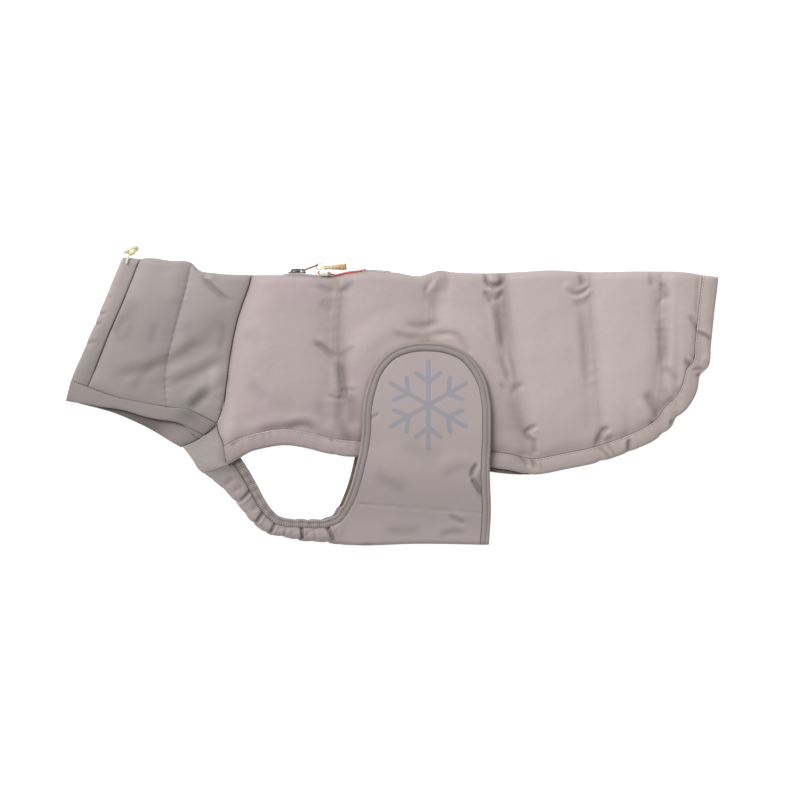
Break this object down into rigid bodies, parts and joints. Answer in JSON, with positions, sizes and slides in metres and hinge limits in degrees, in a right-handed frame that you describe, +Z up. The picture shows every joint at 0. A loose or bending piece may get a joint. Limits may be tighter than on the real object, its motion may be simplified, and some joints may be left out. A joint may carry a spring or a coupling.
{
  "type": "dog winter coat",
  "caption": "Quilted dog winter coat lying flat on its side, with a standing collar, knit throat and chest, chest strap, belly flap and a zip pull that swings on its slider.",
  "frame": {"origin": "on the table, under the middle of the coat's outline without its free cords", "axes": "+X from the neck to the tail, +Y from the belly to the spine, +Z up from the table through the coat's left side"},
  "size_m": [0.5592, 0.2578, 0.023],
  "materials": {
    "shell_cloth": "matt woven polyester with a faint sheen",
    "softshell": "matt softshell",
    "knit": "matt knit",
    "panel_cloth": "matt softshell",
    "binding": "matt elastic binding",
    "lining": "short brown pile",
    "zip_metal": "aged nickel",
    "cord_cream": "braided cotton",
    "tassel_yarn": "loose yarn",
    "cord_red": "thin braided cord",
    "bead_plastic": "milky gloss"
  },
  "bodies": {
    "coat": {"back_panel": "shell_cloth", "hem_casing": "shell_cloth", "collar_panel": "softshell", "collar_casing": "softshell", "throat_panel": "knit", "chest_gusset": "knit", "belly_panel": "panel_cloth", "belly_binding": "binding", "shell_lining": "lining", "flap_lining": "lining", "zip_chain": "zip_metal", "zip_slider": "zip_metal", "drawstring": "cord_cream"},
    "pull": {"pull_tab": "zip_metal", "pull_loop": "cord_cream", "pull_tassel": "tassel_yarn", "pull_cord": "cord_red", "pull_bead": "bead_plastic"}
  },
  "joints": [
    {"name": "pull_swing", "type": "hinge", "parent": "coat", "child": "pull", "pos_m": [-0.07724, 0.10658, 0.00769], "axis": [0, 0, 1], "range_deg": [0, 130]}
  ]
}
